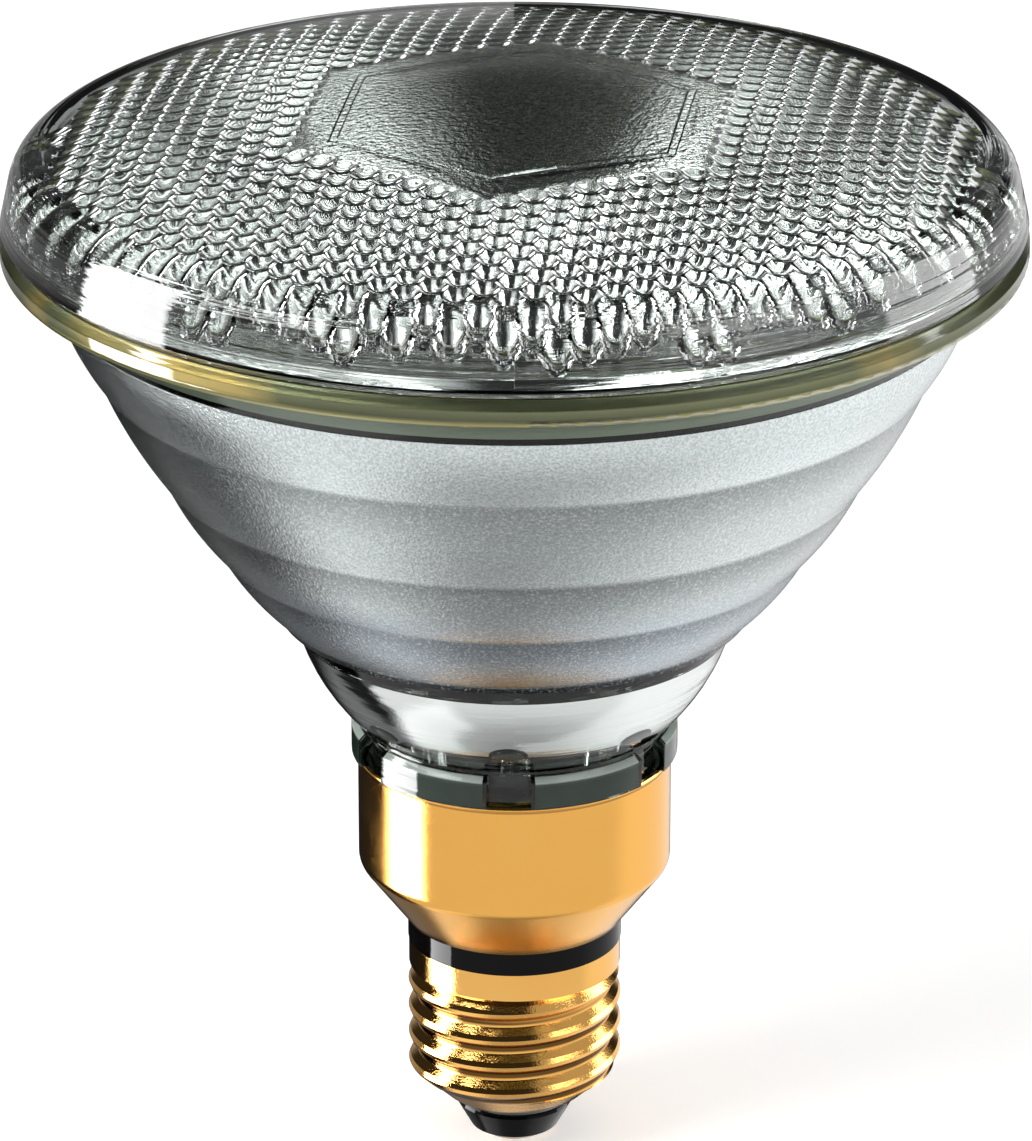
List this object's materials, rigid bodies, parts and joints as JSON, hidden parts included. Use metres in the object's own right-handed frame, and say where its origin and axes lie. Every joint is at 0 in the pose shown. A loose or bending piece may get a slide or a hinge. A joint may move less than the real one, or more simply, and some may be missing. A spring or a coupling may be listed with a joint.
{
  "type": "par spotlight bulb",
  "caption": "Reflector spotlight bulb: pressed glass reflector with a patterned lens, a brass skirt and a screw cap, for accent and outdoor spot lighting.",
  "frame": {"origin": "lowest point of the centre contact, on the lamp's axis", "axes": "+Z along the lamp's axis from the cap to the lens, -Y towards the viewer, +X to the right"},
  "size_m": [0.1225, 0.1224, 0.136],
  "materials": {
    "lens_glass": "clear pressed glass, polished outside, bumps inside",
    "reflector_glass": "clear pressed glass, aluminised inside, satin outside on the body and clear at neck, foot and flange",
    "clear_glass": "clear drawn glass",
    "seal_glass": "yellow-green sealing layer",
    "skirt_brass": "bright lacquered brass",
    "cap_brass": "bright rolled brass",
    "black_glass": "glossy black insulator",
    "cement": "dry cement",
    "nickel": "drawn nickel alloy",
    "tungsten": "dark tungsten wire",
    "copper": "bare copper wire",
    "solder": "dull soft solder"
  },
  "bodies": {
    "root": {"contact_solder": "solder", "contact_plate": "cap_brass", "cap_insulator": "black_glass", "screw_shell": "cap_brass", "cap_ring": "black_glass", "cap_skirt": "skirt_brass", "cement_ring": "cement", "reflector": "reflector_glass", "exhaust_tube": "clear_glass", "rim_seal": "seal_glass", "lens": "lens_glass", "ferrule_left": "nickel", "ferrule_right": "nickel", "lead_post_left": "nickel", "lead_post_right": "nickel", "filament_coil": "tungsten", "support_bead": "clear_glass", "filament_anchor": "tungsten", "outer_lead_centre": "copper", "outer_lead_side": "copper", "side_solder": "solder", "fuse_sleeve": "clear_glass"}
  },
  "joints": []
}
